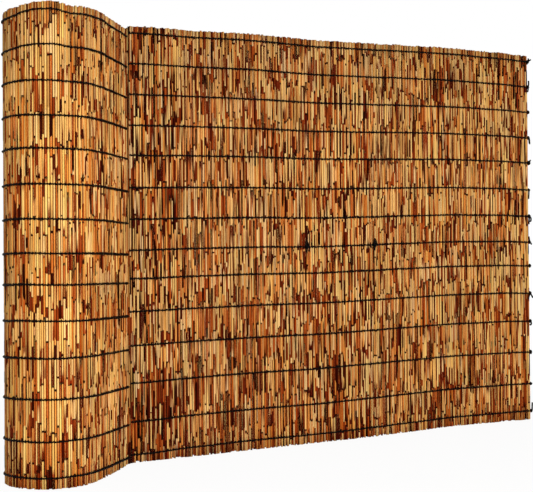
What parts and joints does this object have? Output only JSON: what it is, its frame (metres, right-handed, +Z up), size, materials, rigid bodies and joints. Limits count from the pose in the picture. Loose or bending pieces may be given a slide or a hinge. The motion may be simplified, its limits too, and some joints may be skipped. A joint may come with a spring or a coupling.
{
  "type": "reed screening roll",
  "caption": "Mat of thin upright reeds bound by rows of twisted wire, stood on end: one part still rolled up, the rest unrolled as a straight panel.",
  "frame": {"origin": "middle of the bounding box, on the floor that the reed ends stand on", "axes": "+Z up along the reeds, +X along the flat panel from the roll to the free end, the front towards -Y"},
  "size_m": [2.3417, 0.3119, 1.5],
  "materials": {
    "reed": "dry natural stems, dull",
    "wire": "black coated, satin"
  },
  "bodies": {
    "root": {"reed_panel": "reed", "reed_lead": "reed", "reed_turn_1": "reed", "reed_turn_2": "reed", "reed_turn_3": "reed", "reed_turn_4": "reed", "binding_wire_01": "wire", "binding_wire_02": "wire", "binding_wire_03": "wire", "binding_wire_04": "wire", "binding_wire_05": "wire", "binding_wire_06": "wire", "binding_wire_07": "wire", "binding_wire_08": "wire", "binding_wire_09": "wire", "binding_wire_10": "wire", "binding_wire_11": "wire", "binding_wire_12": "wire", "binding_wire_13": "wire", "binding_wire_14": "wire"}
  },
  "joints": []
}
